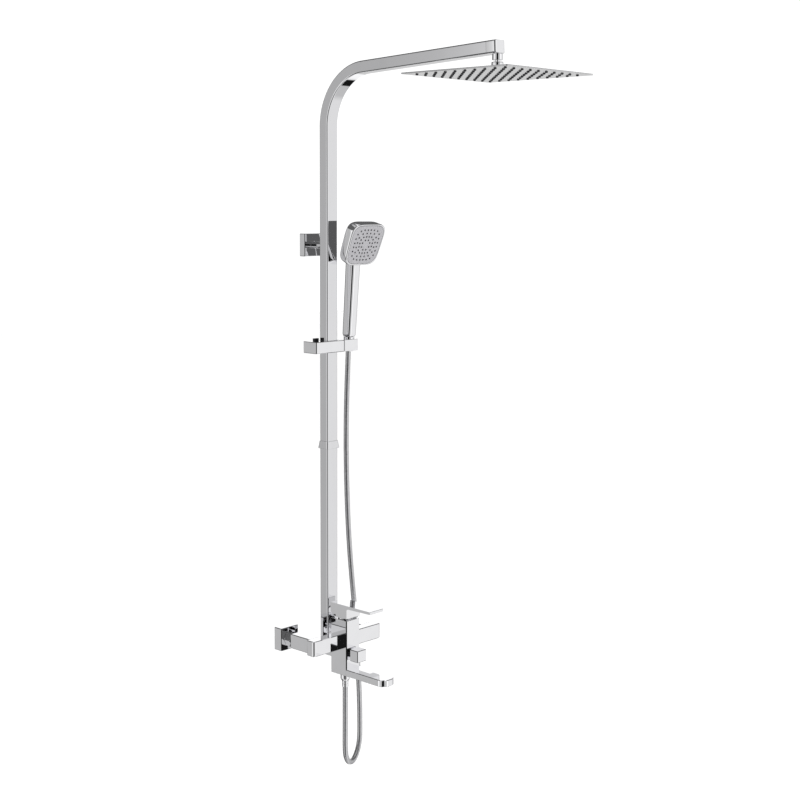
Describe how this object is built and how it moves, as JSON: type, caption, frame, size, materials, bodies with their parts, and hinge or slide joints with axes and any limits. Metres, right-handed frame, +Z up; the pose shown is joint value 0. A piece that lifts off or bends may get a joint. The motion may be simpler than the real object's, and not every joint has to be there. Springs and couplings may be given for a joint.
{
  "type": "rainfall shower column",
  "caption": "Exposed bath shower column: crossbar lever mixer with spout, square riser and arm, square overhead rain head, sliding holder with hand shower and hose",
  "frame": {"origin": "centre of the back face of the upper wall bracket, on the wall plane", "axes": "+Z up, the wall is the XZ plane, the column stands out along -Y, +X to the right seen from in front"},
  "size_m": [0.25, 0.6305, 1.4882],
  "materials": {
    "chrome": "bright polished chrome plate",
    "steel": "stainless steel",
    "brass": "machined brass",
    "rubber": "dark silicone and rubber",
    "white_plastic": "natural acetal",
    "black_plastic": "black plastic",
    "grey_plastic": "matt grey spray face"
  },
  "bodies": {
    "column": {"bracket_base": "steel", "bracket_screw_upper": "steel", "bracket_screw_lower": "steel", "bracket_cover": "chrome", "bracket_pillar": "chrome", "bracket_pillar_nut": "brass", "riser_lower": "chrome", "riser_upper": "chrome", "arm_end_block": "chrome", "arm_nipple": "chrome", "riser_coupling": "brass", "joint_collar": "chrome", "riser_elbow": "chrome", "wall_plate_left": "chrome", "wall_plate_right": "chrome", "wall_union_left": "brass", "wall_union_right": "brass", "inlet_washer_left": "rubber", "inlet_washer_right": "rubber", "union_nut_left": "chrome", "union_nut_right": "chrome", "inlet_arm_left": "chrome", "inlet_arm_right": "chrome", "mixer_body": "chrome", "aerator_housing": "chrome", "aerator_insert": "white_plastic", "cartridge": "white_plastic", "cartridge_nut": "brass", "cartridge_dome": "chrome", "diverter_gland": "black_plastic", "outlet_nipple": "brass", "outlet_nut": "chrome", "hose_ferrule": "chrome", "shower_hose_lower": "steel"},
    "slider": {"slider_body": "chrome", "slider_liner": "black_plastic", "slider_brake_shoe": "white_plastic", "shower_hose_middle": "steel"},
    "release_button": {"slider_button": "black_plastic"},
    "holder": {"hand_holder": "chrome", "shower_hose_upper": "steel"},
    "hand_shower": {"hand_shell": "chrome", "hand_face": "grey_plastic", "hand_nozzle_mat": "rubber", "hose_cone_nut": "chrome"},
    "lever_turntable": {"lever_carrier": "white_plastic", "lever_pin": "steel"},
    "lever": {"mixer_lever": "chrome", "lever_stem": "brass", "lever_screw": "steel", "lever_index_plug": "black_plastic"},
    "diverter": {"diverter_spindle": "brass", "diverter_knob": "chrome"},
    "ball": {"ball_stem": "chrome"},
    "rain_head": {"ball_seat": "white_plastic", "ball_nut": "chrome", "head_cover": "chrome", "head_spray_plate": "steel", "head_nozzle_mat": "rubber"}
  },
  "joints": [
    {"name": "slider_height", "type": "slide", "parent": "column", "child": "slider", "axis": [0, 0, 1], "range_m": [-0.16, 0.14], "deforming": ["shower_hose_lower"]},
    {"name": "button_press", "type": "slide", "parent": "slider", "child": "release_button", "axis": [0, 0, -1], "range_m": [0, 0.003], "stiffness_N_per_m": 400, "springref_m": -0.002},
    {"name": "holder_tilt", "type": "hinge", "parent": "slider", "child": "holder", "pos_m": [0.027, -0.0612, -0.2074], "axis": [1, 0, 0], "range_deg": [-1, 30], "deforming": ["shower_hose_middle"]},
    {"name": "hand_shower_lift", "type": "slide", "parent": "holder", "child": "hand_shower", "axis": [0, -0.0767, 0.9971], "range_m": [0, 0.08], "deforming": ["shower_hose_upper"]},
    {"name": "lever_turn", "type": "hinge", "parent": "column", "child": "lever_turntable", "pos_m": [0, -0.11035, -0.77], "axis": [0, 0, 1], "range_deg": [-35, 35]},
    {"name": "lever_lift", "type": "hinge", "parent": "lever_turntable", "child": "lever", "pos_m": [0, -0.11035, -0.77], "axis": [-1, 0, 0], "range_deg": [0, 14]},
    {"name": "diverter_turn", "type": "hinge", "parent": "column", "child": "diverter", "pos_m": [0, -0.14, -0.8462], "axis": [0, -1, 0], "range_deg": [-90, 90]},
    {"name": "head_swivel", "type": "hinge", "parent": "column", "child": "ball", "pos_m": [0, -0.5055, 0.334], "axis": [0, 0, 1], "range_deg": [-45, 45]},
    {"name": "head_tilt", "type": "hinge", "parent": "ball", "child": "rain_head", "pos_m": [0, -0.5055, 0.334], "axis": [1, 0, 0], "range_deg": [-11, 11]}
  ]
}
